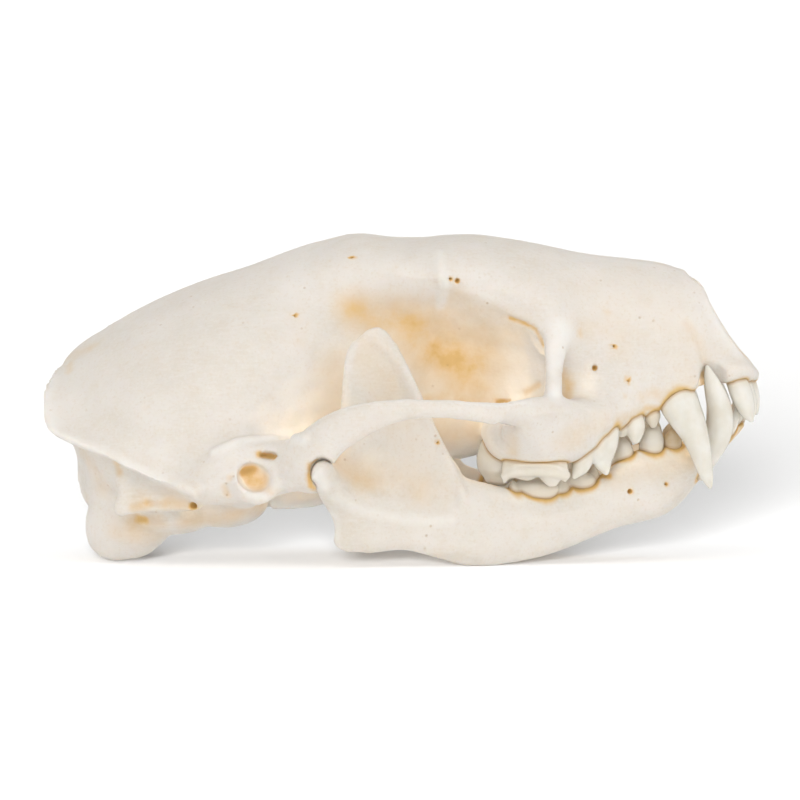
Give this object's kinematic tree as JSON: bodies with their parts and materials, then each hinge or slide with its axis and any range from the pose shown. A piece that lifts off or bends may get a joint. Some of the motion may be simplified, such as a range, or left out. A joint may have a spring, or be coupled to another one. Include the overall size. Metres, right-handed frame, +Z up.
{
  "type": "skunk skull",
  "caption": "Small carnivore skull, jaw closed: long low braincase, open cheek arches, tall jaw branches and interlocking pointed teeth; it rests on its jaw and occipital condyles.",
  "frame": {"origin": "on the table, under the middle of the skull's bounding box", "axes": "+X towards the snout, +Y towards the skull's own left side, +Z up as it rests on a table"},
  "size_m": [0.0714, 0.044, 0.0327],
  "materials": {
    "bone": "dry cleaned bone, pale cream, matt with a soft sheen on its edges, warmer in the hollows",
    "enamel": "tooth enamel, off-white and glossy"
  },
  "bodies": {
    "root": {"cranium": "bone", "mandible_left": "bone", "mandible_right": "bone", "upper_incisor_1_left": "enamel", "upper_incisor_1_right": "enamel", "upper_incisor_2_left": "enamel", "upper_incisor_2_right": "enamel", "upper_incisor_3_left": "enamel", "upper_incisor_3_right": "enamel", "upper_canine_left": "enamel", "upper_canine_right": "enamel", "upper_premolar_2_left": "enamel", "upper_premolar_2_right": "enamel", "upper_premolar_3_left": "enamel", "upper_premolar_3_right": "enamel", "upper_premolar_4_left": "enamel", "upper_premolar_4_right": "enamel", "upper_molar_1_left": "enamel", "upper_molar_1_right": "enamel", "lower_incisor_1_left": "enamel", "lower_incisor_1_right": "enamel", "lower_incisor_2_left": "enamel", "lower_incisor_2_right": "enamel", "lower_incisor_3_left": "enamel", "lower_incisor_3_right": "enamel", "lower_canine_left": "enamel", "lower_canine_right": "enamel", "lower_premolar_2_left": "enamel", "lower_premolar_2_right": "enamel", "lower_premolar_3_left": "enamel", "lower_premolar_3_right": "enamel", "lower_premolar_4_left": "enamel", "lower_premolar_4_right": "enamel", "lower_molar_1_left": "enamel", "lower_molar_1_right": "enamel", "lower_molar_2_left": "enamel", "lower_molar_2_right": "enamel"}
  },
  "joints": []
}
